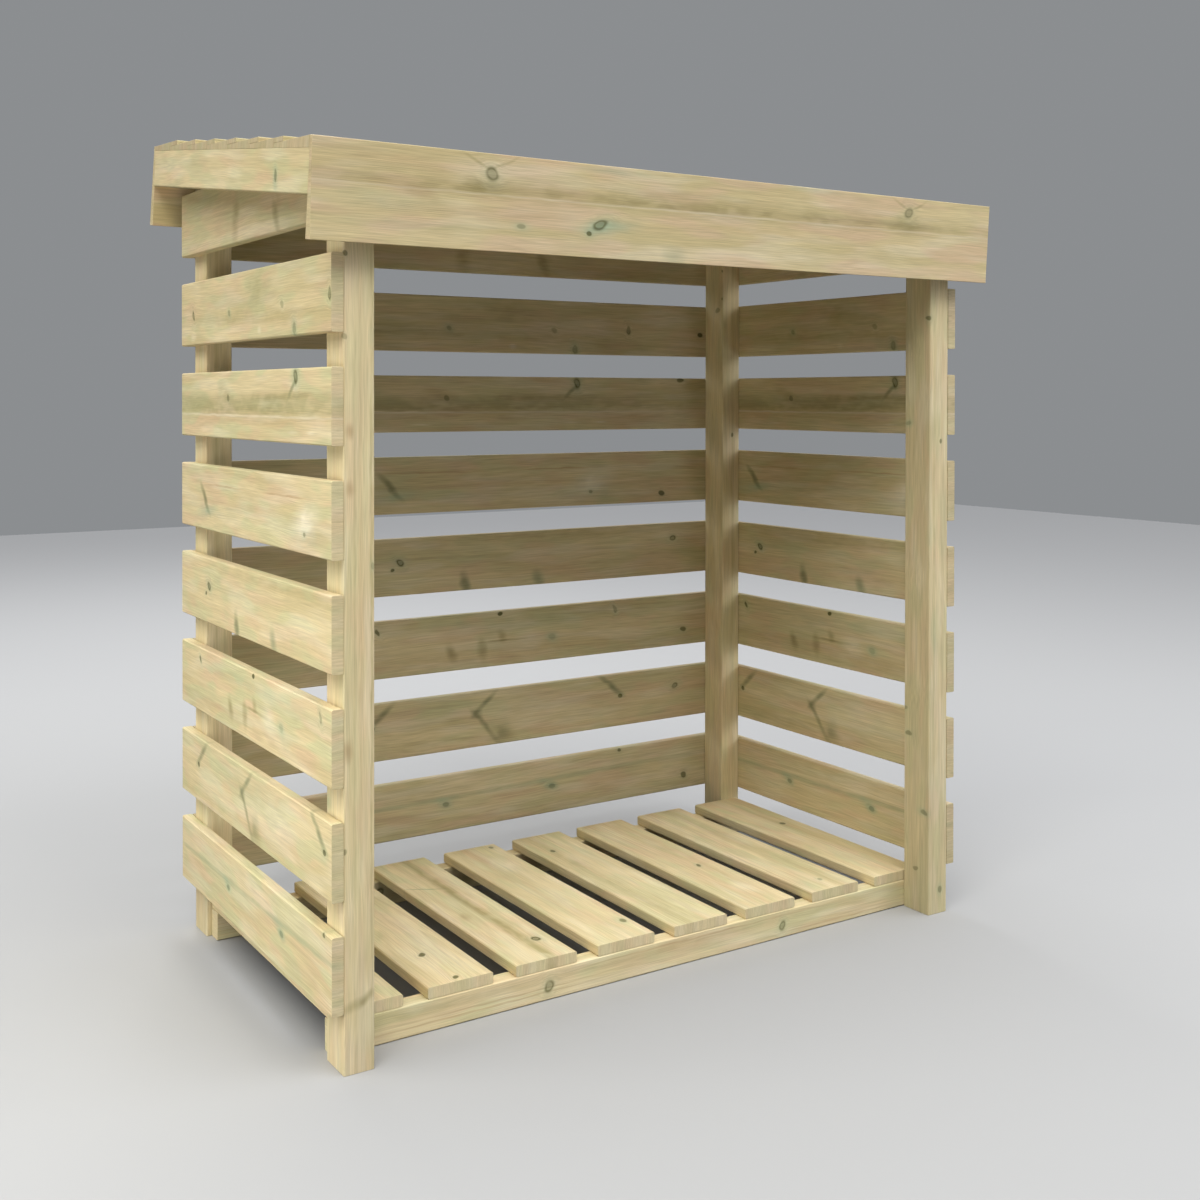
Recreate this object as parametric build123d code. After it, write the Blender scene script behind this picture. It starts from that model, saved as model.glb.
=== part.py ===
from build123d import *
import math
import os

# Open-fronted timber log store with a roof that falls towards the front.
# Millimetres, +Z up, +X to the right, +Y towards the back.
# The pieces are laid out from the foot of the front left post, at the
# post's outer front corner, and are moved at the end so that the origin
# lies on the ground under the middle of the whole store.

# Posts: their size, and how far apart their outer faces are
post_width = 40.0
post_depth = 54.0
frame_width = 1018.0
frame_depth = 581.0

# Wall slats
slat_height = 95.0
slat_thickness = 15.5
slat_pitch = 136.0
slat_first_height = 74.0
slats_per_wall = 8

# Floor: two rails on the ground, and boards from one to the other
rail_depth = 26.0
rail_height = 41.5
rail_end_inset = 8.0
floor_board_width = 95.0
floor_board_thickness = 15.5
floor_board_count = 8
floor_board_end_setback = 0.5

# Roof frame: a rafter at each end, outside the side slats. The top side
# slats are cut to the roof's slope, which leaves them this high in front.
roof_slope = 7.9
top_slat_front_height = 78.0
roof_front_overhang = 28.0
roof_back_overhang = 23.0
rafter_width = 38.0
rafter_height = 53.5

# Tapered boards of the roof and of its two fascias. The topmost roof board
# is ripped narrower at its head, and the rest show about the given width.
taper_board_width = 120.0
taper_board_butt = 14.8
taper_board_head = 6.0
top_board_rip = 7.0
usual_exposure = 87.5
lap_end_clearance = 0.8

# Eased edges
slat_edge_chamfer = 1.6
post_edge_chamfer = 1.4
rafter_edge_chamfer = 1.2
lip_edge_chamfer = 0.8


# Sizes worked out from the ones above
roof_end_overhang = slat_thickness + rafter_width
roof_width = frame_width + 2 * roof_end_overhang
slope_cos = math.cos(math.radians(roof_slope))
slope_sin = math.sin(math.radians(roof_slope))
top_slat_bottom = slat_first_height + (slats_per_wall - 1) * slat_pitch
roof_front_height = top_slat_bottom + top_slat_front_height - roof_front_overhang * slope_sin / slope_cos
rafter_length = (roof_front_overhang + frame_depth + roof_back_overhang) / slope_cos
top_board_width = taper_board_width - top_board_rip
roof_board_count = round((rafter_length - top_board_width) / usual_exposure) + 1
roof_board_exposure = (rafter_length - top_board_width) / (roof_board_count - 1)
taper = (taper_board_butt - taper_board_head) / taper_board_width
floor_board_length = frame_depth - 2 * (post_depth + floor_board_end_setback)


def roof_point(along, above):
    """Y and Z of a point given along the rafters' top edge and square to it."""
    y = -roof_front_overhang + along * slope_cos - above * slope_sin
    z = roof_front_height + along * slope_sin + above * slope_cos
    return (y, z)


def roof_underside_height(y):
    """Height of the rafters' top edge at a distance from the posts' front."""
    return roof_front_height + (y + roof_front_overhang) * slope_sin / slope_cos


def prism_along_x(points, x_start, length):
    """Solid with an outline given in Y and Z, from x_start to the right."""
    outline = Plane.YZ.offset(x_start) * Polyline(*points, close=True)
    return extrude(make_face(outline), amount=length, dir=(1, 0, 0))


def block(x, y, z, width, depth, height):
    """Box with its lowest corner at x, y, z."""
    return Pos(x, y, z) * Box(width, depth, height, align=(Align.MIN, Align.MIN, Align.MIN))


def ease_edges(solid, axis, size):
    """Chamfer the edges that run along one axis."""
    return chamfer(solid.edges().filter_by(axis), size)


# Posts, with their tops cut to the slope of the roof boards
def make_post(x, y):
    tall = roof_underside_height(frame_depth) + post_width
    post = ease_edges(block(x, y, 0, post_width, post_depth, tall), Axis.Z, post_edge_chamfer)
    near = y - post_depth
    far = y + 2 * post_depth
    above_roof = prism_along_x(
        [
            (near, roof_underside_height(near)),
            (far, roof_underside_height(far)),
            (far, 2 * tall),
            (near, 2 * tall),
        ],
        x - post_width,
        3 * post_width,
    )
    return post - above_roof


# Slats of the side walls, nailed to the outer faces of the posts
def make_side_slat(x, number):
    z = slat_first_height + (number - 1) * slat_pitch
    length = frame_depth + slat_thickness
    slat = block(x, 0, z, slat_thickness, length, slat_height)
    slat = ease_edges(slat, Axis.Y, slat_edge_chamfer)
    if z + slat_height <= roof_underside_height(0):
        return slat
    # A slat that would stand above the roof's underside is cut to its slope
    top = z + 2 * slat_height
    above_roof = prism_along_x(
        [
            (-length, roof_underside_height(-length)),
            (2 * length, roof_underside_height(2 * length)),
            (2 * length, top + length),
            (-length, top + length),
        ],
        x - slat_thickness,
        3 * slat_thickness,
    )
    return slat - above_roof


# Slats of the back wall, nailed to the back faces of the back posts
def make_back_slat(number):
    z = slat_first_height + (number - 1) * slat_pitch
    slat = block(0, frame_depth, z, frame_width, slat_thickness, slat_height)
    return ease_edges(slat, Axis.X, slat_edge_chamfer)


# Rails of the floor, on the ground between the front and back posts
def make_floor_rail(y):
    length = frame_width - 2 * rail_end_inset
    rail = block(rail_end_inset, y, 0, length, rail_depth, rail_height)
    return ease_edges(rail, Axis.X, slat_edge_chamfer)


# Boards of the floor, front to back, spread evenly along the rails
def make_floor_boards():
    spread = frame_width - 2 * rail_end_inset - floor_board_width
    pitch = spread / (floor_board_count - 1)
    boards = []
    for number in range(floor_board_count):
        x = rail_end_inset + number * pitch
        y = post_depth + floor_board_end_setback
        board = block(x, y, rail_height, floor_board_width, floor_board_length, floor_board_thickness)
        boards.append(ease_edges(board, Axis.Y, slat_edge_chamfer))
    return Compound(children=boards)


# Rafters, on the outer faces of the side slats
def make_rafter(x):
    corners = [
        roof_point(0, 0),
        roof_point(rafter_length, 0),
        roof_point(rafter_length, -rafter_height),
        roof_point(0, -rafter_height),
    ]
    rafter = prism_along_x(corners, x, rafter_width)
    lower = rafter.edges().filter_by(Axis.X, reverse=True).filter_by(
        lambda edge: abs(edge.tangent_at(0.5).Y) > 0.5
    )
    lower = lower.sort_by(Axis.Z)[:2]
    return chamfer(lower, rafter_edge_chamfer)


# Roof boards: flat below and tapered above. The thick lower edge of each
# board is rebated to a lip that covers the thin head of the next one down.
def make_roof_board(number):
    butt = (roof_board_count - number) * roof_board_exposure
    head = butt + (top_board_width if number == 1 else taper_board_width)
    head_thickness = taper_board_butt - taper * (head - butt)
    lap = taper_board_width - roof_board_exposure
    covered = taper_board_butt - taper * roof_board_exposure
    if number == roof_board_count:
        underside = [roof_point(butt, 0)]
    else:
        rebate_end = butt + lap + lap_end_clearance
        rebate_height = covered - taper * (rebate_end - butt)
        underside = [
            roof_point(butt, covered),
            roof_point(rebate_end, rebate_height),
            roof_point(rebate_end, 0),
        ]
    topside = [roof_point(head, 0), roof_point(head, head_thickness), roof_point(butt, taper_board_butt)]
    board = prism_along_x(underside + topside, -roof_end_overhang, roof_width)
    drip_edge = board.edges().filter_by(Axis.X)
    drip_edge = drip_edge.filter_by(
        lambda edge: math.dist(
            (edge.center().Y, edge.center().Z), roof_point(butt, taper_board_butt)
        ) < lip_edge_chamfer
    )
    return chamfer(drip_edge, lip_edge_chamfer)


# Fascias: the same tapered board, thick edge down, square to the rafters
def make_fascia(inner_face, outward, top):
    bottom = top - taper_board_width
    corners = [
        roof_point(inner_face, top),
        roof_point(inner_face, bottom),
        roof_point(inner_face + outward * taper_board_butt, bottom),
        roof_point(inner_face + outward * taper_board_head, top),
    ]
    return prism_along_x(corners, -roof_end_overhang, roof_width)


back_post_y = frame_depth - post_depth
right_post_x = frame_width - post_width
top_board_head = taper_board_butt - taper * top_board_width

pieces = {
    "post_front_left": make_post(0, 0),
    "post_front_right": make_post(right_post_x, 0),
    "post_back_left": make_post(0, back_post_y),
    "post_back_right": make_post(right_post_x, back_post_y),
    "floor_rail_front": make_floor_rail(post_depth),
    "floor_rail_back": make_floor_rail(back_post_y - rail_depth),
    "floor_boards": make_floor_boards(),
    "rafter_left": make_rafter(-roof_end_overhang),
    "rafter_right": make_rafter(frame_width + slat_thickness),
    "fascia_front": make_fascia(0, -1, taper_board_butt),
    "fascia_back": make_fascia(rafter_length, 1, top_board_head),
}
for number in range(1, slats_per_wall + 1):
    pieces[f"left_slat_{number}"] = make_side_slat(-slat_thickness, number)
    pieces[f"right_slat_{number}"] = make_side_slat(frame_width, number)
    pieces[f"back_slat_{number}"] = make_back_slat(number)
for number in range(1, roof_board_count + 1):
    pieces[f"roof_board_{number}"] = make_roof_board(number)

# The fascias reach furthest forwards and backwards, so the middle of the
# store is half way between their outermost edges.
front_reach = min(vertex.Y for vertex in pieces["fascia_front"].vertices())
back_reach = max(vertex.Y for vertex in pieces["fascia_back"].vertices())
to_origin = Pos(-frame_width / 2, -(front_reach + back_reach) / 2, 0)

os.makedirs("parts", exist_ok=True)
for name, piece in pieces.items():
    export_step(to_origin * piece, f"parts/{name}.step")
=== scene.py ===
import math
import random

import bmesh
import bpy
from mathutils import Matrix, Vector, noise


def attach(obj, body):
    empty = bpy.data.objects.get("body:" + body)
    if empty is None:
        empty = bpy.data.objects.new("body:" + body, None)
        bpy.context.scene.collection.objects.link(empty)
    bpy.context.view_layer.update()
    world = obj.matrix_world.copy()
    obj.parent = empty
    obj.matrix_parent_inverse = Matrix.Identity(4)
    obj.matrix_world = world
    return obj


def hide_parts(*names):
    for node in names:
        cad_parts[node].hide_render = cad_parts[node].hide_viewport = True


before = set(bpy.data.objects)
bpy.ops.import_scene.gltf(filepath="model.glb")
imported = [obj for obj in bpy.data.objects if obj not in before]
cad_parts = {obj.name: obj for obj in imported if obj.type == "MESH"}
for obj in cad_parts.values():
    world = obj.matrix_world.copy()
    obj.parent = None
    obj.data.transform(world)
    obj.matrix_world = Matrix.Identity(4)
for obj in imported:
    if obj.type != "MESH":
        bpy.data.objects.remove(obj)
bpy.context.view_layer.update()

# Open-fronted log store of pale, pressure-treated softwood.
# Metres, +Z up, +X to the right, +Y towards the back.
# Every board is dressed from its own solid: whole faces, arrises that are
# worn a little, and coordinates along, across and through the board, which
# its grain, growth rings and knots are drawn in.

MM = 0.001

SLATS_PER_WALL = 8
ROOF_BOARDS = 7

# Directions of the boards
RIGHT = Vector((1, 0, 0))
BACK = Vector((0, 1, 0))
UP = Vector((0, 0, 1))
ROOF_SLOPE = math.radians(7.9)
UP_SLOPE = Vector((0, math.cos(ROOF_SLOPE), math.sin(ROOF_SLOPE)))
OFF_SLOPE = Vector((0, -math.sin(ROOF_SLOPE), math.cos(ROOF_SLOPE)))

# Marks in the timber. Their places and half sizes are in millimetres along,
# across and through the board from its middle, and their turns in degrees.
# A mark without a place through the board shows on both of its faces, and one
# with a place there reaches a number of its half widths into the board.
WHOLE_DEPTH = 1000.0
MARK_REACH = 2.0
KNOT_REACH = 2.5
# How soft the outlines are, from 0 for a sharp one to 1
KNOT_SOFT = 0.25
SPIKE_SOFT = 0.95
BAND_SOFT = 0.9
SPIKE_STAIN = 0.6
# A knot at least this long has a heart that is lighter than its rim
RING_KNOT = 8
RING_KNOT_HEART = 0.6


def timber_mark(kind, at, size, turn, soft, ink, tint, through, reach):
    """What a mark group needs to know of one mark or knot."""
    whole = through is None
    return {
        "kind": kind,
        "centre": (at[0], at[1], 0.0 if whole else through),
        "size": (size[0], size[1], WHOLE_DEPTH if whole else size[1] * reach),
        "turn": math.radians(turn),
        "soft": soft,
        "ink": ink,
        "tint": tint,
    }


def mark(at, size, turn=0.0, soft=1.0, dark=0.0, green=0.0, stain=0.0, pale=0.0, rose=0.0, through=None):
    """A soft-edged patch of darker, greener, stained, paler or rosier wood."""
    ink = (dark, green, stain)
    tint = (pale, rose, 0.0)
    return timber_mark("mark", at, size, turn, soft, ink, tint, through, MARK_REACH)


def knot(at, size, turn=0.0, dark=0.8, green=0.5, swirl=0.7, through=None, heart=None):
    """A knot: a dark rim, a heart, a green halo, and grain that swirls round it."""
    if heart is None:
        heart = RING_KNOT_HEART if size[0] >= RING_KNOT else 1.0
    ink = (dark, green, heart)
    tint = (0.0, 0.0, swirl)
    return timber_mark("knot", at, size, turn, KNOT_SOFT, ink, tint, through, KNOT_REACH)


def spike(start, end, width, dark=0.5, green=0.45):
    """A knot cut along its length, from one point to another."""
    run = (end[0] - start[0], end[1] - start[1])
    middle = ((start[0] + end[0]) / 2, (start[1] + end[1]) / 2)
    size = (math.hypot(*run) / 2 + width, width)
    turn = math.degrees(math.atan2(run[1], run[0]))
    return mark(middle, size, turn, soft=SPIKE_SOFT, dark=dark, green=green, stain=SPIKE_STAIN)


def band(across, width, amount=0.5, turn=0.0, length=420.0, along=0.0, **tones):
    """A long streak that follows the grain: a stain, or else the tones given."""
    tones = tones or {"stain": amount}
    return mark((along, across), (length, width), turn, soft=BAND_SOFT, **tones)


# The slats of one height show the same figure on the three walls, counted
# from the lowest. Places along run from front to back on the side walls and
# from right to left on the back wall, and places across run upwards.
SLAT_FIGURES = {
    1: [
        knot((80, -1), (6, 4), 10, dark=0.5, green=1.0, heart=0.9),
        mark((88, 4), (16, 6), 20, green=0.5),
        knot((-129, -1), (6, 4), 20, dark=0.45, green=1.0, heart=0.9),
        mark((-120, 5), (18, 7), 20, green=0.6),
        knot((-274, 44), (4, 3), swirl=0.3),
        band(10, 3.5, turn=-0.9, green=0.55, stain=0.5),
        band(24, 14, turn=-0.9, pale=0.35),
        mark((-207, -31), (60, 9), -6, stain=0.3),
        knot((-420, -22), (7, 5), 30),
    ],
    2: [
        spike((187, 38), (216, 14), 4.2, dark=0.42),
        knot((217, 7), (4.5, 4), swirl=0.2),
        spike((-8, 38), (22, 13), 3.8, dark=0.40),
        mark((22, 10), (8, 7), dark=0.36, green=0.4, stain=0.5),
        spike((22, 8), (-12, -32), 3.6, dark=0.36),
        mark((-27, -30), (24, 17), 40, stain=0.7),
        mark((-30, -24), (10, 16), 20, dark=0.14, green=0.3),
        spike((-239, 41), (-272, 14), 4.2, dark=0.40, green=0.7),
        knot((-274, 7), (4.5, 4), swirl=0.2),
        mark((-97, 8), (80, 24), pale=0.6),
        mark((60, 28), (120, 14), green=0.3),
        band(-33, 9, 0.35, along=180, length=200),
        knot((-400, 14), (8, 5), -30),
    ],
    3: [
        knot((207, 30), (6, 3), 65),
        knot((-25, 43), (5, 3.2), dark=1.0, green=0.2, swirl=0.4),
        mark((70, -17), (13, 7), 65, dark=0.26, stain=0.7),
        mark((10, -17), (14, 7), 78, dark=0.26, stain=0.8),
        mark((-27, 4), (9, 6), 65, dark=0.1, stain=0.6),
        band(-4, 1.6, along=-31, length=40, dark=0.2, stain=0.7),
        mark((-82, -6), (20, 13), 15, pale=1.0),
        knot((-129, -7), (7, 5), 20, dark=0.2, green=1.0, swirl=0.3),
        knot((-262, 32), (8, 3.5), 65, dark=0.6),
        band(27, 9, along=-60, length=200, green=0.4),
        band(-28, 12, along=-60, length=300, rose=0.4),
        knot((-418, -18), (7, 4), 15),
    ],
    4: [
        knot((166, 7), (8, 5.5), 28, dark=0.9, green=0.8),
        knot((181, -5), (3.5, 2.5), dark=0.9, green=0.5, swirl=0.3),
        mark((44, -36), (17, 8), 80, soft=0.8, dark=0.5, green=0.6, stain=0.3),
        mark((-101, -38), (14, 9), 70, soft=0.9, dark=0.26, green=0.7, stain=0.3),
        band(37, 8, 0.5, along=-110, length=230),
        mark((60, 12), (110, 14), green=0.25),
        band(-20, 14, along=-180, length=180, rose=0.35),
        knot((-395, 20), (8, 5), -10),
    ],
    5: [
        spike((197, 10), (173, -15), 4.6, dark=0.46),
        mark((183, -22), (34, 7), -8, green=0.9),
        mark((-212, -10), (36, 18), -20, pale=1.2),
        mark((-212, -10), (20, 10), -20, pale=1.0, rose=0.12),
        mark((-225, -26), (60, 14), green=0.45),
        knot((-211, -23), (4, 3), dark=0.5, swirl=0.3),
        mark((-224, 18), (14, 10), stain=0.25),
        band(20, 1.3, along=101, length=78, rose=0.9, dark=0.06),
        band(21, 1.3, along=-137, length=76, rose=1.0, dark=0.08),
        band(-16, 10, along=90, length=160, green=0.28),
        band(-4, 4, along=-60, length=300, rose=0.35),
        knot((-368, -31), (7, 5), 10, dark=0.9),
    ],
    6: [
        knot((-180, 36), (10, 7), 80, dark=0.75, green=0.9, swirl=0.4),
        spike((-176, 29), (-158, 13), 3.2, dark=0.32),
        knot((79, 10), (6, 4), 35, dark=0.6, green=0.1, swirl=0.5),
        mark((96, 18), (22, 8), 20, rose=0.3, stain=0.3),
        band(12, 4.5, along=-116, length=130, stain=0.55, dark=0.05),
        band(1, 11, stain=0.85, green=0.25),
        band(-8, 5, 0.4),
        band(-14.5, 1.5, pale=0.8),
        band(-21, 6, rose=0.45),
        mark((127, -35), (13, 1.6), pale=0.7),
        mark((-170, -34), (13, 1.6), pale=0.7),
        mark((-232, -33), (10, 1.6), pale=0.8),
        knot((-411, 44), (7, 4)),
    ],
    7: [
        knot((239, -4), (8, 4), 70, dark=0.9, green=0.25),
        knot((74, -7), (5, 4), 40, dark=0.4, green=0.7),
        knot((-133, -6), (6, 4), 30, dark=0.35, green=0.3),
        knot((-177, -39), (8, 5), 75, dark=0.6, green=1.0),
        knot((-293, -2), (8, 4.5), 75, dark=0.9, green=0.3),
        mark((238, -34), (11, 5), pale=0.8),
        mark((-49, -36), (6, 4), pale=0.8),
        mark((-45, 23), (32, 16), 5, stain=0.5),
        mark((-30, 12), (130, 26), -4, stain=0.3, green=0.14),
        band(-18, 9, 0.4, turn=1.5),
        knot((-457, -6), (6, 4.5), dark=0.95),
        mark((-443, 40), (16, 5), green=0.5),
    ],
    8: [
        mark((47, -16), (26, 11), -84, dark=0.06, stain=0.7, rose=0.2),
        mark((-111, -27), (18, 7), 66, dark=0.2, stain=0.9, rose=0.2),
        mark((-118, -6), (16, 8), 70, stain=0.4),
        mark((40, 20), (160, 16), stain=0.3),
        band(-36, 6, along=60, length=220, pale=0.3),
    ],
}

# Floor boards, counted from the left: along to the back, across to the right
FLOOR_FIGURES = {
    1: [knot((-150, 18), (6, 4), 20)],
    2: [
        knot((-133, -7), (7, 4), 30, dark=0.9, green=0.2),
        knot((-224, -2), (6, 3.5), 25, dark=0.9, green=0.2),
        mark((-43, -26), (26, 9), 15, stain=0.5),
        mark((-90, 14), (60, 15), pale=0.4),
    ],
    3: [
        knot((-166, 22), (8, 6), dark=0.95, green=0.6),
        spike((106, -36), (84, 2), 1.6, dark=0.2, green=0.7),
        mark((-41, -21), (13, 6), 10, stain=0.7, rose=0.3),
        band(8, 7, stain=1.1, dark=0.06),
        band(20, 7, rose=0.4),
    ],
    4: [
        knot((-173, 33), (7, 5), dark=0.7, green=0.6),
        mark((128, 8), (30, 14), pale=0.9),
        knot((220, 33), (6, 4), dark=0.6),
        band(-12, 9, rose=0.3),
    ],
    5: [knot((150, -20), (6, 4), 10), band(-20, 8, 0.5)],
    6: [mark((-156, 10), (20, 12), pale=0.6), knot((-40, 12), (6, 4), 20), band(25, 8, rose=0.35)],
    7: [knot((-196, 4), (5, 3.5), 20, dark=0.4), band(18, 10, 0.4), mark((-205, -30), (25, 10), green=0.5)],
    8: [mark((-120, -6), (70, 16), pale=0.5), knot((60, 15), (7, 5))],
}

# Rails and fascia: along to the right, across upwards
RAIL_FIGURES = {
    "floor_rail_front": [
        knot((-191, -2), (9, 7), 75, dark=0.7, green=0.5),
        knot((217, -2), (8, 6), 75, dark=0.7, green=0.5),
        band(9, 5, 0.4),
        band(-9, 1.2, along=-300, length=150, rose=0.8, dark=0.06),
        band(-3, 1.0, along=-250, length=120, rose=0.7, dark=0.05),
        band(13, 1.0, along=80, length=170, rose=0.8, dark=0.06),
        band(-13, 1.2, along=330, length=120, rose=0.7, dark=0.05),
        mark((-360, 8), (90, 8), stain=0.35),
        mark((60, 4), (60, 8), rose=0.4),
    ],
    "floor_rail_back": [knot((-240, 3), (8, 6), 60), band(-4, 6, 0.4)],
}

# Posts: places along run up the post, across to the right and through to the
# back, from the post's middle
POST_FIGURES = {
    "post_front_left": [
        knot((429, -18), (3.4, 2.6), dark=0.72, green=0.1, through=-27),
        knot((330, -19), (3.4, 2.9), dark=0.40, green=0.2, through=-27),
        mark((328, 17), (10, 4), green=0.5, through=-27),
        mark((216, -12), (8, 4), rose=0.9, dark=0.12, through=-27),
        mark((147, -12), (8, 4), rose=0.8, dark=0.1, through=-27),
        knot((52, 18), (4.1, 2.2), dark=0.32, green=0.6, through=-27),
        mark((-167, -14), (10, 5), rose=0.9, dark=0.16, through=-27),
        knot((-286, -19), (4.1, 2.5), dark=0.56, green=0.2, through=-27),
        mark((-471, -2), (5, 24), -22, stain=0.8, dark=0.18, through=-27),
        mark((-238, -20), (9, 4), green=0.8, dark=0.25, through=22),
        band(16, 1.6, 0.8),
        band(2, 2.4, rose=0.35),
        band(-6, 1.6, 0.4),
    ],
    "post_front_right": [
        knot((381, -20), (3.7, 2.8), dark=0.72, green=0.4, through=-24),
        knot((217, -20), (3.2, 2.3), dark=0.32, green=0.8, through=19),
        knot((-277, -20), (3.7, 2.8), dark=0.56, green=0.4, through=17),
        knot((-237, -20), (3.2, 2.3), dark=0.40, green=0.4, through=25),
        knot((-396, -20), (3.7, 2.8), dark=0.48, green=0.9, through=-17),
        knot((-488, -20), (3.2, 2.3), dark=0.48, green=0.1, through=1),
        knot((189, 4), (4.2, 2.5), dark=0.72, green=0.4, through=-27),
        knot((-518, 5), (5.9, 3.9), dark=0.52, green=0.6, through=-27),
        mark((-120, -8), (30, 5), green=0.4, through=-27),
        mark((60, 10), (60, 5), green=0.3, through=-27),
        band(-10, 2.0, 0.5),
        band(8, 2.6, rose=0.3),
    ],
    "post_back_right": [
        knot((458, -22), (4.1, 2.5), dark=0.80, green=0.1, through=-27),
        knot((406, -22), (4.1, 2.5), dark=0.80, green=0.1, through=-27),
        knot((384, -20), (4.8, 2.9), dark=0.48, green=0.2, through=-12),
        knot((151, 3), (4.1, 2.9), dark=0.80, green=0.4, through=-27),
        band(4, 3, 0.4),
    ],
    "post_back_left": [knot((250, 5), (7, 5), through=-27), band(-4, 2.5, 0.5)],
}

FASCIA_FIGURE = [
    knot((-328, 36), (9, 8.5), dark=0.85, green=0.4, swirl=0.9, heart=0.46),
    mark((-330, 18), (28, 10), stain=0.55, dark=0.06),
    knot((388, 38), (9, 8.5), dark=0.85, green=0.4, swirl=0.9, heart=0.46),
    mark((388, 19), (26, 10), stain=0.55, dark=0.06),
    spike((-333, 42), (-362, 56), 1.7, dark=0.08, green=0.0),
    spike((-322, 43), (-296, 55), 1.7, dark=0.08, green=0.0),
    spike((383, 44), (356, 57), 1.7, dark=0.08, green=0.0),
    spike((394, 44), (418, 55), 1.6, dark=0.08, green=0.0),
    knot((-164, -17), (12, 6.5), 22, dark=0.78, green=0.9, swirl=0.6, heart=0.6),
    mark((-146, -18), (36, 7), 6, green=0.9),
    knot((-181, -29), (4, 3), dark=0.9, green=0.7, swirl=0.2),
    knot((-283, -26), (6, 3), dark=0.45, green=0.8, swirl=0.4),
    mark((-46, -50), (14, 9), green=0.55, dark=0.22),
    mark((-421, 5), (16, 6), -12, rose=0.6, stain=0.4),
    mark((-141, 53), (40, 4), green=0.6),
    mark((201, 57), (40, 4), green=0.6),
    band(21, 11, 0.64, along=-60, length=600),
    band(15, 6, 0.50, length=560),
    band(10, 1.3, length=560, pale=0.6),
    band(5, 5, 0.22, along=80, length=500),
    band(-14, 9, along=-340, length=190, rose=0.5),
    band(-8, 8, along=120, length=200, rose=0.35),
    mark((-480, -8), (70, 10), green=0.45),
    mark((-470, -32), (80, 5), green=0.3),
    band(-47, 9, pale=0.35),
    mark((-470, 44), (110, 6), -6, rose=0.4),
]

# Rafters: along up the slope, across off it
RAFTER_FIGURE = [
    knot((-211, -6), (8, 4.5), 72, dark=0.70, green=1.0, swirl=0.3, heart=0.8),
    mark((-209, -14), (10, 5), 72, green=0.5),
    band(6, 6, 0.2),
    mark((-150, -8), (60, 6), rose=0.3),
]


# Boards whose own marks aren't known: how many knots, their places as shares
# of the board's half length and half width, their half lengths, width to
# length, turns and tones, and then a stained and a rosy band
RANDOM_KNOTS = (2, 4)
KNOT_ALONG = (-0.9, 0.9)
KNOT_ACROSS = (-0.7, 0.7)
KNOT_LENGTH = (4, 8)
KNOT_SHAPE = 0.65
KNOT_GREEN = (0.2, 0.8)
KNOT_TURN = (-40, 80)
KNOT_DARK = (0.5, 0.95)
BAND_ACROSS = (-0.6, 0.6)
BAND_WIDTH = (4, 9)
BAND_STAIN = (0.3, 0.6)
BAND_ROSE = (0.2, 0.45)


def random_band(rng, half_width, tone, amounts):
    across = rng.uniform(*BAND_ACROSS) * half_width
    width = rng.uniform(*BAND_WIDTH)
    return band(across, width, **{tone: rng.uniform(*amounts)})


def random_figure(rng, half_length, half_width):
    """Knots and bands for a board whose own aren't known."""
    figure = []
    for _ in range(rng.randint(*RANDOM_KNOTS)):
        along = rng.uniform(*KNOT_ALONG) * half_length
        across = rng.uniform(*KNOT_ACROSS) * half_width
        length = rng.uniform(*KNOT_LENGTH)
        green = rng.uniform(*KNOT_GREEN)
        turn = rng.uniform(*KNOT_TURN)
        dark = rng.uniform(*KNOT_DARK)
        figure.append(knot((along, across), (length, length * KNOT_SHAPE), turn, dark, green))
    figure.append(random_band(rng, half_width, "stain", BAND_STAIN))
    figure.append(random_band(rng, half_width, "rose", BAND_ROSE))
    return figure


# Colours of the treated timber, as linear light
CREAM = (0.720, 0.602, 0.350, 1)
STRAW = (0.655, 0.530, 0.275, 1)
OLIVE = (0.440, 0.365, 0.155, 1)
STAIN = (0.370, 0.300, 0.125, 1)
ROSE = (0.680, 0.495, 0.305, 1)
RUST = (0.470, 0.300, 0.155, 1)
MINT = (0.560, 0.565, 0.305, 1)
PALE = (0.840, 0.750, 0.540, 1)
COPPER_GREEN = (0.300, 0.440, 0.290, 1)
KNOT_CORE = (0.095, 0.090, 0.018, 1)
LATEWOOD = (0.500, 0.370, 0.180, 1)
END_GRAIN = (0.580, 0.480, 0.290, 1)


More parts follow.
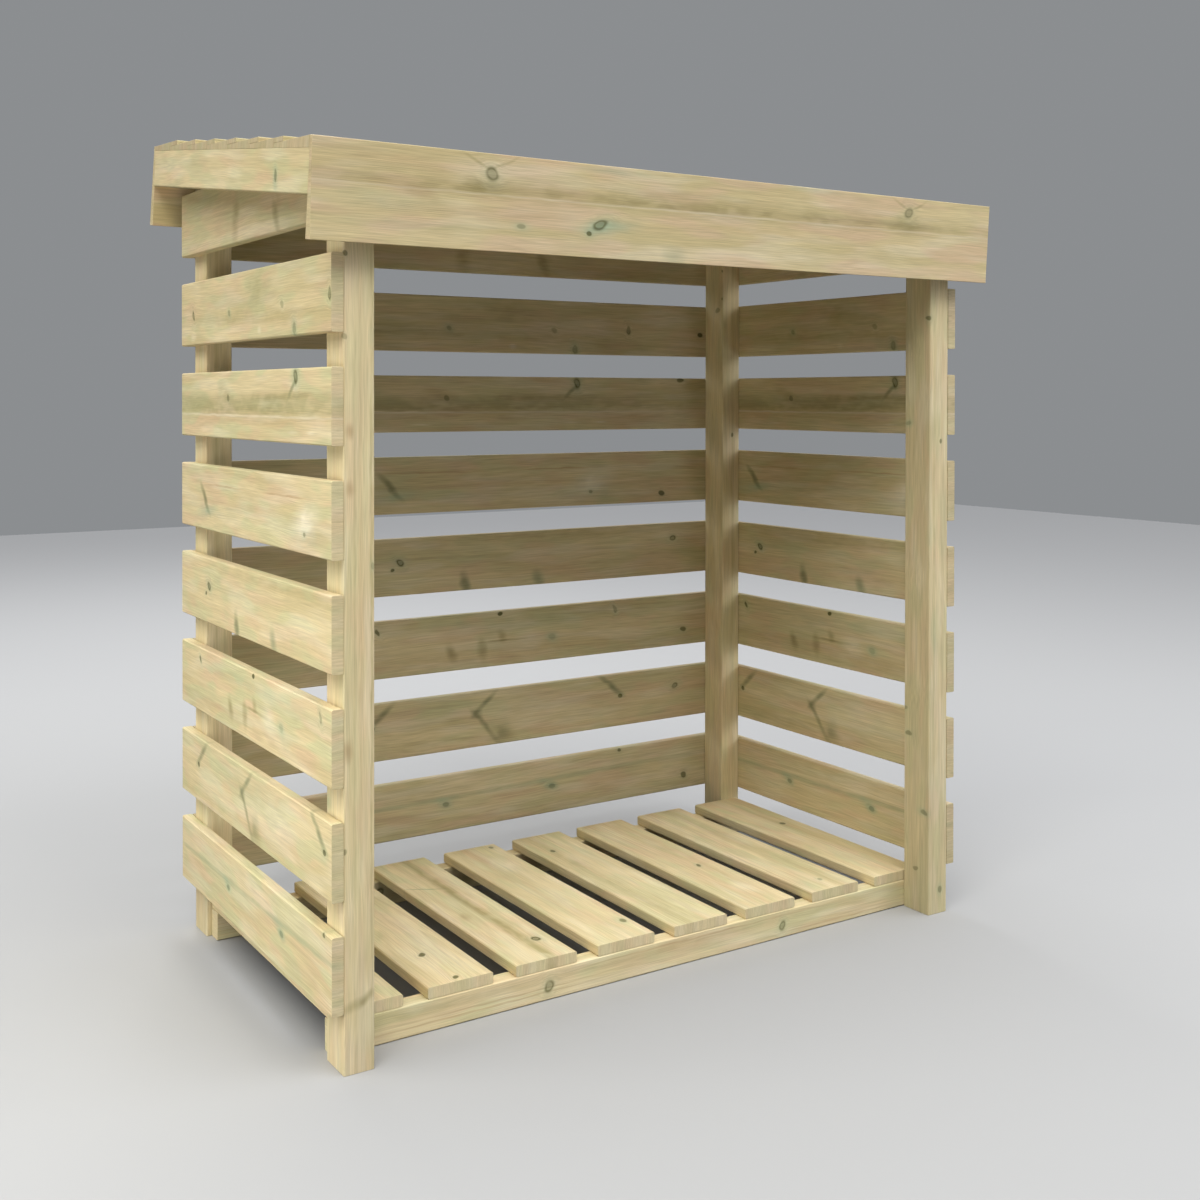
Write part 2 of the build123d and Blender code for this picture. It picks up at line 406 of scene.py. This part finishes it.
class Graph:
    """Short ways to add nodes to a node tree."""

    def __init__(self, tree):
        self.tree = tree

    def node(self, kind, **settings):
        made = self.tree.nodes.new(kind)
        for name, value in settings.items():
            setattr(made, name, value)
        return made

    def put(self, socket, value):
        """Links a socket to another node's output, or sets it to a number."""
        if isinstance(value, bpy.types.NodeSocket):
            self.tree.links.new(value, socket)
        elif value is not None:
            socket.default_value = value

    def put_all(self, sockets, values):
        for socket, value in zip(sockets, values):
            self.put(socket, value)

    def math(self, operation, *values):
        made = self.node("ShaderNodeMath", operation=operation)
        self.put_all(made.inputs, values)
        return made.outputs[0]

    def product(self, first, *others):
        for other in others:
            first = self.math("MULTIPLY", first, other)
        return first

    def line(self, value, slope, start):
        """A straight line: value times slope, plus start."""
        return self.math("MULTIPLY_ADD", value, slope, start)

    def vector(self, operation, *values):
        made = self.node("ShaderNodeVectorMath", operation=operation)
        self.put_all(made.inputs, values)
        return made.outputs["Value" if operation == "LENGTH" else "Vector"]

    def noise(self, position, scale, detail=0.0):
        """Noise that varies this many times a metre along, across and through."""
        made = self.node("ShaderNodeTexNoise")
        self.put(made.inputs["Vector"], self.vector("MULTIPLY", position, scale))
        made.inputs["Scale"].default_value = 1.0
        made.inputs["Detail"].default_value = detail
        return made.outputs["Fac"]

    def swing(self, position, scale, width):
        """Noise as a shift to either side, this wide in all."""
        return self.line(self.noise(position, scale), width, -width / 2)

    def between(self, value, low, high, out_low=0.0, out_high=1.0):
        """A smooth step from one value to the other."""
        made = self.node("ShaderNodeMapRange", clamp=True, interpolation_type="SMOOTHSTEP")
        self.put_all(made.inputs, (value, low, high, out_low, out_high))
        return made.outputs["Result"]

    def mix(self, share, first, second):
        made = self.node("ShaderNodeMix", data_type="RGBA", clamp_factor=True)
        self.put(made.inputs["Factor"], share)
        self.put(made.inputs["A"], first)
        self.put(made.inputs["B"], second)
        return made.outputs["Result"]

    def split(self, vector):
        made = self.node("ShaderNodeSeparateXYZ")
        self.put(made.inputs[0], vector)
        return made.outputs

    def join(self, x, y, z):
        made = self.node("ShaderNodeCombineXYZ")
        self.put_all(made.inputs, (x, y, z))
        return made.outputs[0]


VECTOR, FLOAT, COLOUR = "NodeSocketVector", "NodeSocketFloat", "NodeSocketColor"


def new_group(name, inputs, outputs):
    """A node group, with short ways to fill it and its own inputs and outputs."""
    tree = bpy.data.node_groups.new(name, "ShaderNodeTree")
    for label, kind in inputs:
        tree.interface.new_socket(name=label, in_out="INPUT", socket_type=kind)
    for label, kind in outputs:
        tree.interface.new_socket(name=label, in_out="OUTPUT", socket_type=kind)
    source = tree.nodes.new("NodeGroupInput").outputs
    target = tree.nodes.new("NodeGroupOutput").inputs
    return tree, Graph(tree), source, target


# Knots, by distance from the middle in half sizes: where the rim is darkest,
# how fast it fades to both sides, its strength as a line over the heart's,
# and how fast the green halo fades
RIM_PLACE = 0.72
RIM_FADE = -12.0
RIM_STRENGTH = (-0.2, 1.1)
HALO_FADE = -0.30


def mark_group(kind):
    """Adds a mark or knot to the sums of ink (dark, green, stain) and tint (pale, rose, bend)."""
    inputs = [
        ("Position", VECTOR), ("Centre", VECTOR), ("Turn", FLOAT), ("Size", VECTOR), ("Soft", FLOAT),
        ("Ink", VECTOR), ("Tint", VECTOR), ("Ink Sum", VECTOR), ("Tint Sum", VECTOR), ("Patchy", FLOAT),
    ]
    outputs = [("Ink Sum", VECTOR), ("Tint Sum", VECTOR)]
    tree, g, source, target = new_group("timber_" + kind, inputs, outputs)
    ink, tint, patchy = source["Ink"], source["Tint"], source["Patchy"]
    away = g.vector("SUBTRACT", source["Position"], source["Centre"])
    turned = g.node("ShaderNodeVectorRotate", rotation_type="Z_AXIS", invert=True)
    g.put(turned.inputs["Vector"], away)
    g.put(turned.inputs["Angle"], source["Turn"])
    reach = g.vector("LENGTH", g.vector("DIVIDE", turned.outputs[0], source["Size"]))
    inner = g.math("SUBTRACT", 1.0, source["Soft"])
    outer = g.math("ADD", 1.0, source["Soft"])
    body = g.between(reach, inner, outer, 1.0, 0.0)
    if kind == "mark":
        body = g.product(body, patchy)
        ink_here = g.vector("MULTIPLY", ink, g.join(body, body, body))
        tint_here = g.vector("MULTIPLY", tint, g.join(body, body, 0.0))
    else:
        heart = g.split(ink)["Z"]
        rim = g.math("SUBTRACT", reach, RIM_PLACE)
        rim = g.math("EXPONENT", g.product(rim, rim, RIM_FADE))
        rim = g.product(rim, patchy, g.line(heart, *RIM_STRENGTH))
        shade = g.math("MAXIMUM", g.product(body, heart), rim)
        halo = g.math("EXPONENT", g.product(reach, reach, HALO_FADE))
        ink_here = g.vector("MULTIPLY", ink, g.join(shade, halo, 0.0))
        bend = g.product(halo, g.split(away)["Y"], g.split(tint)["Z"])
        tint_here = g.join(0.0, 0.0, bend)
    g.put(target["Ink Sum"], g.vector("ADD", source["Ink Sum"], ink_here))
    g.put(target["Tint Sum"], g.vector("ADD", source["Tint Sum"], tint_here))
    return tree


# Softwood. Each scale is how often its noise varies in a metre along, across
# and through the board.
# How far the grain's line wanders and ripples across the board, and how much
# of that it does through the board
WANDER_SCALE = (2.2, 5, 5)
WANDER_WIDTH = 18 * MM
RIPPLE_SCALE = (13, 24, 24)
RIPPLE_WIDTH = 4 * MM
BEND_THROUGH = 0.5
# What end grain adds: noise drawn out through the board, fainter rings, a
# little shade, and a tint of its own
END_STRETCH = -0.93
END_RINGS = -0.6
END_SHADE = -0.04
END_TINT = 0.35
# Growth rings: their unevenness, where in a ring the late wood begins and
# ends, and where on the board it shows
UNEVEN_SCALE = (0, 70, 1)
UNEVEN_SEED = 3.7
UNEVEN_WIDTH = 8 * MM
LATE_BEGINS = (0.30, 0.86)
LATE_ENDS = (0.90, 1.0)
LATE_SCALE = (1.8, 18, 18)
LATE_SHOWS = (0.38, 0.66)
LATE_SHARE = 0.25
# Fine dark lines
LINE_SCALE = (2.8, 290, 290)
LINE_SHOWS = (0.62, 0.76)
LINE_SHARE = 0.11
# Soft patches of colour: their scale, where in the noise they begin and are
# full, and a shift that gives them a part of the noise to themselves
OLIVE_PATCHES = ((2.6, 26, 26), (0.48, 0.66))
ROSE_PATCHES = ((8, 34, 34), (0.46, 0.64), (7.3, 1.9, 4.1))
MINT_PATCHES = ((11, 36, 36), (0.46, 0.62), (2.1, 8.8, 0.7))
PALE_PATCHES = ((8, 44, 44), (0.46, 0.68), (5.2, 0.4, 9.6))
OLIVE_SHARE = 0.50
PALE_SHARE = 0.30
# What the marks paint, in this order: which sum and which part of it, the
# share of the colour at full strength, and the colour
MARK_COLOURS = (
    ("Ink", "Z", 0.70, STAIN),
    ("Tint", "Y", 0.60, RUST),
    ("Tint", "X", 0.62, PALE),
    ("Ink", "Y", 0.46, COPPER_GREEN),
    ("Ink", "X", 0.95, KNOT_CORE),
)
# Streaks, grain and fibres, and how far they lighten and darken the timber
STREAK_SCALE = (3.4, 170, 170)
STREAK_SHADE = 0.15
GRAIN_SCALE = (8, 440, 440)
GRAIN_SHADE = 0.24
FIBRE_SCALE = (26, 1100, 1100)
FIBRE_SHADE = 0.32
# Roughness, and what late wood, fibres and knots add to it
ROUGHNESS = 0.66
LATE_ROUGHNESS = -0.10
FIBRE_ROUGHNESS = 0.14
KNOT_ROUGHNESS = -0.12
HEIGHT_SCALE = (26, 900, 900)


def softwood_group():
    """Colour, roughness and height of planed softwood at a place in its board."""
    inputs = [
        ("Position", VECTOR), ("Seed", VECTOR), ("Pith", VECTOR), ("Ring Width", FLOAT),
        ("Warmth", FLOAT), ("Olive", FLOAT), ("Rose", FLOAT), ("Mint", FLOAT), ("Figure", FLOAT),
        ("Tone", FLOAT), ("End", FLOAT), ("Ink", VECTOR), ("Tint", VECTOR),
    ]
    outputs = [("Color", COLOUR), ("Roughness", FLOAT), ("Height", FLOAT)]
    tree, g, source, target = new_group("softwood", inputs, outputs)
    sums = {"Ink": g.split(source["Ink"]), "Tint": g.split(source["Tint"])}

    # The grain wanders a little, and bends round the knots
    place = g.vector("ADD", source["Position"], source["Seed"])
    wander = g.swing(place, WANDER_SCALE, WANDER_WIDTH)
    ripple = g.swing(place, RIPPLE_SCALE, RIPPLE_WIDTH)
    shift = g.math("SUBTRACT", g.math("ADD", wander, ripple), sums["Tint"]["Z"])
    bent = g.vector("ADD", place, g.join(0.0, shift, g.product(shift, BEND_THROUGH)))
    bent = g.vector("MULTIPLY", bent, g.join(1.0, 1.0, g.line(source["End"], END_STRETCH, 1.0)))

    # Growth rings about the pith, which lies aslant to the board
    board = g.split(source["Position"])
    pith = g.split(source["Pith"])
    across = g.math("SUBTRACT", g.math("ADD", board["Y"], shift), pith["X"])
    through = g.math("SUBTRACT", board["Z"], pith["Y"])
    through = g.math("ADD", through, g.product(board["X"], pith["Z"]))
    radius = g.vector("LENGTH", g.join(0.0, across, through))
    uneven = g.noise(g.join(0.0, radius, UNEVEN_SEED), UNEVEN_SCALE)
    radius = g.math("ADD", radius, g.product(uneven, UNEVEN_WIDTH))
    ring = g.math("FRACT", g.math("DIVIDE", radius, source["Ring Width"]))
    late = g.product(g.between(ring, *LATE_BEGINS), g.between(ring, *LATE_ENDS, 1.0, 0.0))
    late = g.product(late, g.between(g.noise(bent, LATE_SCALE), *LATE_SHOWS), source["Figure"])
    late = g.product(late, g.line(source["End"], END_RINGS, 1.0))

    # Colour: the plain wood's, patches, rings and lines, then the marks
    def patches(scale, limits, aside=None):
        where = bent if aside is None else g.vector("ADD", bent, aside)
        return g.between(g.noise(where, scale, detail=1.0), *limits)

    hairline = g.between(g.noise(bent, LINE_SCALE), *LINE_SHOWS)
    colour = g.mix(source["Warmth"], CREAM, STRAW)
    colour = g.mix(g.product(patches(*OLIVE_PATCHES), source["Olive"], OLIVE_SHARE), colour, OLIVE)
    colour = g.mix(g.product(patches(*ROSE_PATCHES), source["Rose"]), colour, ROSE)
    colour = g.mix(g.product(patches(*MINT_PATCHES), source["Mint"]), colour, MINT)
    colour = g.mix(g.product(patches(*PALE_PATCHES), PALE_SHARE), colour, PALE)
    colour = g.mix(g.product(late, LATE_SHARE), colour, LATEWOOD)
    colour = g.mix(g.product(hairline, LINE_SHARE), colour, LATEWOOD)
    for name, part, share, mark_colour in MARK_COLOURS:
        colour = g.mix(g.product(sums[name][part], share), colour, mark_colour)
    colour = g.mix(g.product(source["End"], END_TINT), colour, END_GRAIN)

    # Light and dark
    streak = g.noise(bent, STREAK_SCALE, detail=1.0)
    grain = g.noise(bent, GRAIN_SCALE, detail=1.0)
    fibre = g.noise(bent, FIBRE_SCALE)
    shade = source["Tone"]
    for texture, strength in ((streak, STREAK_SHADE), (grain, GRAIN_SHADE), (fibre, FIBRE_SHADE)):
        shade = g.line(g.math("SUBTRACT", texture, 0.5), strength, shade)
    shade = g.product(shade, g.line(source["End"], END_SHADE, 1.0))
    tone = g.node("ShaderNodeHueSaturation")
    g.put(tone.inputs["Value"], shade)
    g.put(tone.inputs["Color"], colour)
    g.put(target["Color"], tone.outputs[0])

    rough = g.line(late, LATE_ROUGHNESS, ROUGHNESS)
    rough = g.line(fibre, FIBRE_ROUGHNESS, rough)
    rough = g.line(sums["Ink"]["X"], KNOT_ROUGHNESS, rough)
    g.put(target["Roughness"], rough)
    g.put(target["Height"], g.noise(place, HEIGHT_SCALE, detail=1.0))
    return tree


MARK_GROUPS = {kind: mark_group(kind) for kind in ("mark", "knot")}
SOFTWOOD = softwood_group()

# How the timber of each use differs: its tints, how plainly the rings show,
# and how light it is. The back and right walls' slats are the left wall's timber
# set darker, as painted shade for walls that get less light
LOOK_LABELS = ("Warmth", "Olive", "Rose", "Mint", "Figure", "Tone")
LOOKS = {
    "slat": (0.30, 0.60, 0.50, 0.54, 0.70, 0.97),
    # Painted shade: the back wall's slats, inside under the roof, get a darker tone
    "back_slat": (0.30, 0.60, 0.55, 0.36, 0.60, 0.76),
    # Painted shade: the right wall's slats, away from the lamps on the left, get a darker tone
    "right_slat": (0.30, 0.60, 0.55, 0.36, 0.60, 0.86),
    "post": (0.05, 0.30, 0.40, 0.25, 0.50, 0.93),
    "floor": (0.08, 0.50, 0.36, 0.40, 1.00, 1.08),
    "fascia": (1.00, 0.40, 0.80, 0.08, 0.70, 0.92),
    "roof": (0.30, 0.60, 0.50, 0.40, 0.90, 0.82),
}
# How far each may differ from board to board, as a share of it
LOOK_SPREAD = 0.2
TONE_SPREAD = 0.03
# Room in the noise that each board's grain is taken from, in metres, and the
# place, slant and width of its rings, in millimetres but for the slant
SEED_ROOM = 50
PITH_ACROSS = (-30, 30)
PITH_THROUGH = (25, 60)
PITH_SLANT = (-0.025, 0.025)
RING_WIDTH = (2.6, 4.2)
# Marks are stronger and weaker in places, and their outlines are warped
PATCHY_SCALE = (30, 70, 70)
PATCHY_LIMITS = (0.36, 0.62, 0.68, 1.1)
WARP_SCALE = (28, 52, 52)
WARP_REACH = (9 * MM, -4 * MM, 0.0)
BUMP_DEPTH = 0.35 * MM
BUMP_STRENGTH = 0.6
SPECULAR = 0.28


def add_marks(g, position, figure):
    """The sums of ink and tint of a board's marks."""
    patchy = g.between(g.noise(position, PATCHY_SCALE, detail=1.0), *PATCHY_LIMITS)
    warp = g.math("SUBTRACT", g.noise(position, WARP_SCALE, detail=1.0), 0.5)
    warped = g.vector("MULTIPLY", g.join(warp, warp, 0.0), WARP_REACH)
    warped = g.vector("ADD", position, warped)
    ink, tint = None, None
    for entry in figure:
        made = g.node("ShaderNodeGroup", node_tree=MARK_GROUPS[entry["kind"]])
        settings = {
            "Position": warped,
            "Patchy": patchy,
            "Centre": [value * MM for value in entry["centre"]],
            "Turn": entry["turn"],
            "Size": [value * MM for value in entry["size"]],
            "Soft": entry["soft"],
            "Ink": entry["ink"],
            "Tint": entry["tint"],
            "Ink Sum": ink,
            "Tint Sum": tint,
        }
        for label, value in settings.items():
            g.put(made.inputs[label], value)
        ink, tint = made.outputs["Ink Sum"], made.outputs["Tint Sum"]
    return ink, tint


def timber_material(name, look, figure, rng):
    """The timber of one board, with the marks that its figure lists."""
    material = bpy.data.materials.new(name)
    material.use_nodes = True
    g = Graph(material.node_tree)
    position = g.node("ShaderNodeAttribute", attribute_name="timber").outputs["Vector"]
    end = g.node("ShaderNodeAttribute", attribute_name="end_grain").outputs["Fac"]
    ink, tint = add_marks(g, position, figure)
    wood = g.node("ShaderNodeGroup", node_tree=SOFTWOOD)
    settings = {
        "Position": position,
        "End": end,
        "Ink": ink,
        "Tint": tint,
        "Seed": [rng.uniform(0, SEED_ROOM) for _ in range(3)],
        "Pith": (
            rng.uniform(*PITH_ACROSS) * MM,
            rng.choice((-1, 1)) * rng.uniform(*PITH_THROUGH) * MM,
            rng.uniform(*PITH_SLANT),
        ),
        "Ring Width": rng.uniform(*RING_WIDTH) * MM,
    }
    for label, value in zip(LOOK_LABELS, LOOKS[look]):
        spread = TONE_SPREAD if label == "Tone" else LOOK_SPREAD
        settings[label] = value * rng.uniform(1 - spread, 1 + spread)
    for label, value in settings.items():
        g.put(wood.inputs[label], value)
    bump = g.node("ShaderNodeBump")
    bump.inputs["Distance"].default_value = BUMP_DEPTH
    bump.inputs["Strength"].default_value = BUMP_STRENGTH
    g.put(bump.inputs["Height"], wood.outputs["Height"])
    shader = material.node_tree.nodes["Principled BSDF"]
    g.put(shader.inputs["Base Color"], wood.outputs["Color"])
    g.put(shader.inputs["Roughness"], wood.outputs["Roughness"])
    g.put(shader.inputs["Normal"], bump.outputs["Normal"])
    shader.inputs["Specular IOR Level"].default_value = SPECULAR
    return material


# Dressing of the solids: triangles that lie flat to each other are joined,
# and edges that turn by more than the arris angle are eased
WELD = 0.01 * MM
FLAT_ANGLE = math.radians(1)
ARRIS_ANGLE = math.radians(20)
ARRIS_RADIUS = 0.45 * MM
FASCIA_ARRIS_RADIUS = 1.0 * MM
ARRIS_SEGMENTS = 2
ARRIS_PROFILE = 0.6
# Distance between cross cuts, depth and length of the wear, and the room in
# the noise that each board's wear is taken from
SLICE = 24 * MM
WEAR_DEPTH = 0.22 * MM
WEAR_LENGTH = 55 * MM
WEAR_ROOM = 90
# Cosine to the board's length from which a face's normal makes it end grain
END_FACE = 0.7


def joined_verts(start):
    """All vertices that edges join to this one."""
    reached = {start}
    waiting = [start]
    while waiting:
        vert = waiting.pop()
        for edge in vert.link_edges:
            other = edge.other_vert(vert)
            if other not in reached:
                reached.add(other)
                waiting.append(other)
    return reached


def whole_solids(node):
    """The solids of a CAD node, each a bmesh with its triangles joined into faces."""
    whole = bmesh.new()
    whole.from_mesh(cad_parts[node].data)
    bmesh.ops.remove_doubles(whole, verts=whole.verts, dist=WELD)
    bmesh.ops.dissolve_limit(whole, angle_limit=FLAT_ANGLE, verts=whole.verts, edges=whole.edges)
    solids = []
    while whole.verts:
        whole.verts.ensure_lookup_table()
        whole.verts.index_update()
        whole.faces.index_update()
        reached = joined_verts(whole.verts[0])
        faces = {face for vert in reached for face in vert.link_faces}
        solid = bmesh.new()
        copies = {vert: solid.verts.new(vert.co) for vert in sorted(reached, key=lambda vert: vert.index)}
        for face in sorted(faces, key=lambda face: face.index):
            solid.faces.new([copies[vert] for vert in face.verts])
        solids.append(solid)
        bmesh.ops.delete(whole, geom=list(reached), context="VERTS")
    whole.free()
    return solids


def middle_of(solid):
    """The middle of the solid's box."""
    low = Vector([min(vert.co[axis] for vert in solid.verts) for axis in range(3)])
    high = Vector([max(vert.co[axis] for vert in solid.verts) for axis in range(3)])
    return (low + high) / 2


def reach_of(solid, middle, direction):
    """How far the solid goes from its middle in a direction."""
    return max((vert.co - middle).dot(direction) for vert in solid.verts)


def is_sharp(edge):
    return len(edge.link_faces) == 2 and edge.calc_face_angle() > ARRIS_ANGLE


def ease_arrises(solid, radius):
    """Rounds the edges of the board."""
    solid.normal_update()
    bmesh.ops.bevel(
        solid,
        geom=[edge for edge in solid.edges if is_sharp(edge)],
        offset=radius,
        segments=ARRIS_SEGMENTS,
        profile=ARRIS_PROFILE,
        affect="EDGES",
        clamp_overlap=True,
    )


def slice_along(solid, middle, along):
    """Cross cuts, so that the arrises can be worn unevenly."""
    reach = reach_of(solid, middle, along)
    cuts = int(2 * reach / SLICE)
    for number in range(1, cuts):
        at = middle + along * (-reach + number * 2 * reach / cuts)
        everything = solid.verts[:] + solid.edges[:] + solid.faces[:]
        bmesh.ops.bisect_plane(solid, geom=everything, plane_co=at, plane_no=along, dist=WELD)


def wear(solid, rng):
    """Moves the surface inwards, by up to the wear depth and unevenly."""
    solid.normal_update()
    offset = Vector([rng.uniform(0, WEAR_ROOM) for _ in range(3)])
    moves = []
    for vert in solid.verts:
        amount = 0.5 + 0.5 * noise.noise(vert.co / WEAR_LENGTH + offset)
        moves.append((vert, vert.normal * (-WEAR_DEPTH * amount)))
    for vert, move in moves:
        vert.co += move


def settle_order(solid):
    """Orders the faces by their corners, as bevel's order changes from run to run."""
    solid.verts.index_update()
    settled = sorted(solid.faces, key=lambda face: sorted(vert.index for vert in face.verts))
    for number, face in enumerate(settled):
        face.index = number
    solid.faces.sort()


def write_grain(mesh, middle, along, across):
    """Coordinates along, across and through the board, and its end grain."""
    through = along.cross(across)
    grain = mesh.attributes.new("timber", "FLOAT_VECTOR", "POINT")
    for vert, entry in zip(mesh.vertices, grain.data):
        away = vert.co - middle
        entry.vector = (away.dot(along), away.dot(across), away.dot(through))
    ends = mesh.attributes.new("end_grain", "FLOAT", "FACE")
    for face, entry in zip(mesh.polygons, ends.data):
        entry.value = 1.0 if abs(face.normal.dot(along)) > END_FACE else 0.0


def dress_solid(name, solid, along, across, material, rng):
    """The solid as a worn board, with its grain's coordinates."""
    middle = middle_of(solid)
    ease_arrises(solid, FASCIA_ARRIS_RADIUS if name.startswith("fascia") else ARRIS_RADIUS)
    slice_along(solid, middle, along)
    wear(solid, rng)
    settle_order(solid)
    mesh = bpy.data.meshes.new(name)
    solid.to_mesh(mesh)
    solid.free()
    mesh.shade_smooth()
    write_grain(mesh, middle, along, across)
    mesh.materials.append(material)
    piece = bpy.data.objects.new(name, mesh)
    bpy.context.scene.collection.objects.link(piece)
    piece.modifiers.new("flat_faces", "WEIGHTED_NORMAL")
    return piece


def dress(node, along, across, look, figures):
    """Dresses each solid of a CAD node as a board of its own."""
    solids = whole_solids(node)
    solids.sort(key=lambda solid: tuple(round(value, 4) for value in middle_of(solid)))
    for number, solid in enumerate(solids, 1):
        alone = len(solids) == 1
        name = f"{node}_timber" if alone else f"{node}_timber_{number}"
        rng = random.Random(name)
        figure = figures.get(node if alone else number)
        if figure is None:
            middle = middle_of(solid)
            half_length = reach_of(solid, middle, along) / MM
            half_width = reach_of(solid, middle, across) / MM
            figure = random_figure(rng, half_length, half_width)
        material = timber_material(name, look, figure, rng)
        piece = dress_solid(name, solid, along, across, material, rng)
        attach(piece, "root")
        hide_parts(node)


def dress_frame():
    for node in ("post_front_left", "post_front_right", "post_back_left", "post_back_right"):
        dress(node, UP, RIGHT, "post", POST_FIGURES)
    for node in ("floor_rail_front", "floor_rail_back"):
        dress(node, RIGHT, UP, "floor", RAIL_FIGURES)
    dress("floor_boards", BACK, RIGHT, "floor", FLOOR_FIGURES)


def dress_walls():
    # The back and right walls take darker looks, as painted shade
    walls = (("left", BACK, "slat"), ("right", BACK, "right_slat"), ("back", -RIGHT, "back_slat"))
    for level in range(1, SLATS_PER_WALL + 1):
        for wall, along, look in walls:
            node = f"{wall}_slat_{level}"
            dress(node, along, UP, look, {node: SLAT_FIGURES[level]})


def dress_roof():
    for node in ("rafter_left", "rafter_right"):
        dress(node, UP_SLOPE, OFF_SLOPE, "slat", {node: RAFTER_FIGURE})
    for node in ("fascia_front", "fascia_back"):
        dress(node, RIGHT, OFF_SLOPE, "fascia", {"fascia_front": FASCIA_FIGURE})
    for number in range(1, ROOF_BOARDS + 1):
        dress(f"roof_board_{number}", RIGHT, UP_SLOPE, "roof", {})


# Floor of the studio
FLOOR_SIZE = 14.0
FLOOR_COLOUR = (0.42, 0.42, 0.41, 1)
FLOOR_ROUGHNESS = 0.9


def studio_floor():
    mesh = bpy.data.meshes.new("studio_floor")
    half = FLOOR_SIZE / 2
    corners = [(-half, -half, 0), (half, -half, 0), (half, half, 0), (-half, half, 0)]
    mesh.from_pydata(corners, [], [(0, 1, 2, 3)])
    material = bpy.data.materials.new("studio_floor")
    material.use_nodes = True
    shader = material.node_tree.nodes["Principled BSDF"]
    shader.inputs["Base Color"].default_value = FLOOR_COLOUR
    shader.inputs["Roughness"].default_value = FLOOR_ROUGHNESS
    mesh.materials.append(material)
    floor = bpy.data.objects.new("studio_floor", mesh)
    bpy.context.scene.collection.objects.link(floor)
    # It throws no light back up on the store, which darkens towards its roof
    floor.visible_diffuse = False
    return floor


# Light: a sky that is brightest overhead, large soft lamps above, and three
# smaller ones near the ground. The camera sees an even grey backdrop.
SKY_OVERHEAD = 1.62
SKY_COLOUR = (0.98, 1.0, 1.06, 1)
BACKDROP = (0.26, 0.27, 0.28, 1)
WARM = (1.0, 0.985, 0.94)
COOL = (0.99, 1.0, 1.04)
# What the lamps point at, and each one's name, place, size, power and colour
MIDDLE = (0, 0, 0.6)
LAMPS = (
    ("key", (-2.4, -2.0, 4.2), 2.0, 92.0, WARM),
    ("left", (-3.4, 0.6, 3.4), 2.0, 52.0, WARM),
    ("right", (3.4, -2.6, 2.2), 2.5, 60.0, COOL),
    ("front", (0.5, -2.6, 4.2), 2.0, 68.0, COOL),
    ("back", (0.3, 3.4, 3.6), 2.0, 70.0, COOL),
)
FOOT = (-0.2, -0.1, 0.2)
FOOT_LAMPS = (
    ("foot_left", (-1.5, -0.2, 0.25), 0.9, 8.0, WARM),
    ("foot_front", (-1.0, -1.5, 0.2), 0.9, 5.8, WARM),
    ("foot_right", (1.3, -1.7, 0.4), 0.9, 5.0, COOL),
)


def soft_lamp(name, place, size, power, colour, target):
    light = bpy.data.lights.new(name, "AREA")
    light.shape = "SQUARE"
    light.size = size
    light.energy = power
    light.color = colour
    lamp = bpy.data.objects.new(name, light)
    lamp.location = place
    lamp.rotation_euler = (Vector(target) - Vector(place)).to_track_quat("-Z", "Y").to_euler()
    lamp.visible_camera = False
    bpy.context.scene.collection.objects.link(lamp)
    return lamp


def studio_lamps(floor):
    for row in LAMPS:
        soft_lamp(*row, MIDDLE)
    # The lamps near the ground would glare on the floor, so they don't light it
    missed = bpy.data.collections.new("missed_by_foot_lamps")
    missed.objects.link(floor)
    missed.collection_objects[0].light_linking.link_state = "EXCLUDE"
    for row in FOOT_LAMPS:
        lamp = soft_lamp(*row, FOOT)
        lamp.light_linking.receiver_collection = missed


def studio_sky():
    world = bpy.data.worlds.new("studio")
    world.use_nodes = True
    g = Graph(world.node_tree)
    upward = g.split(g.node("ShaderNodeTexCoord").outputs["Generated"])["Z"]
    upward = g.math("MAXIMUM", upward, 0.0)
    sky = world.node_tree.nodes["Background"]
    sky.inputs["Color"].default_value = SKY_COLOUR
    g.put(sky.inputs["Strength"], g.product(upward, upward, SKY_OVERHEAD))
    backdrop = g.node("ShaderNodeBackground")
    backdrop.inputs["Color"].default_value = BACKDROP
    seen = g.node("ShaderNodeMixShader")
    camera_ray = g.node("ShaderNodeLightPath").outputs["Is Camera Ray"]
    g.put_all(seen.inputs, (camera_ray, sky.outputs[0], backdrop.outputs[0]))
    g.put(world.node_tree.nodes["World Output"].inputs["Surface"], seen.outputs[0])
    bpy.context.scene.world = world


# Camera: its place and angles, fitted to the edges seen in the photograph
CAMERA_PLACE = (-1.1716, -1.8840, 0.8124)
CAMERA_HEADING = math.radians(32.918)
CAMERA_PITCH = math.radians(-0.516)
CAMERA_ROLL = math.radians(0.062)
CAMERA_LENS = 42.63
CAMERA_SENSOR = 36.0
CAMERA_SHIFT = -0.158
CAMERA_NEAR = 0.05
CAMERA_FAR = 60.0


def studio_camera():
    data = bpy.data.cameras.new("camera")
    data.sensor_width = CAMERA_SENSOR
    data.lens = CAMERA_LENS
    data.shift_y = CAMERA_SHIFT
    data.clip_start = CAMERA_NEAR
    data.clip_end = CAMERA_FAR
    camera = bpy.data.objects.new("camera", data)
    level = Matrix.Rotation(math.pi / 2 + CAMERA_PITCH, 3, "X")
    turned = Matrix.Rotation(-CAMERA_HEADING, 3, "Z") @ level @ Matrix.Rotation(CAMERA_ROLL, 3, "Z")
    camera.matrix_world = Matrix.Translation(CAMERA_PLACE) @ turned.to_4x4()
    bpy.context.scene.collection.objects.link(camera)
    bpy.context.scene.camera = camera


studio_camera()
studio_sky()
studio_lamps(studio_floor())
bpy.context.scene.view_settings.view_transform = "Standard"
dress_frame()
dress_walls()
dress_roof()
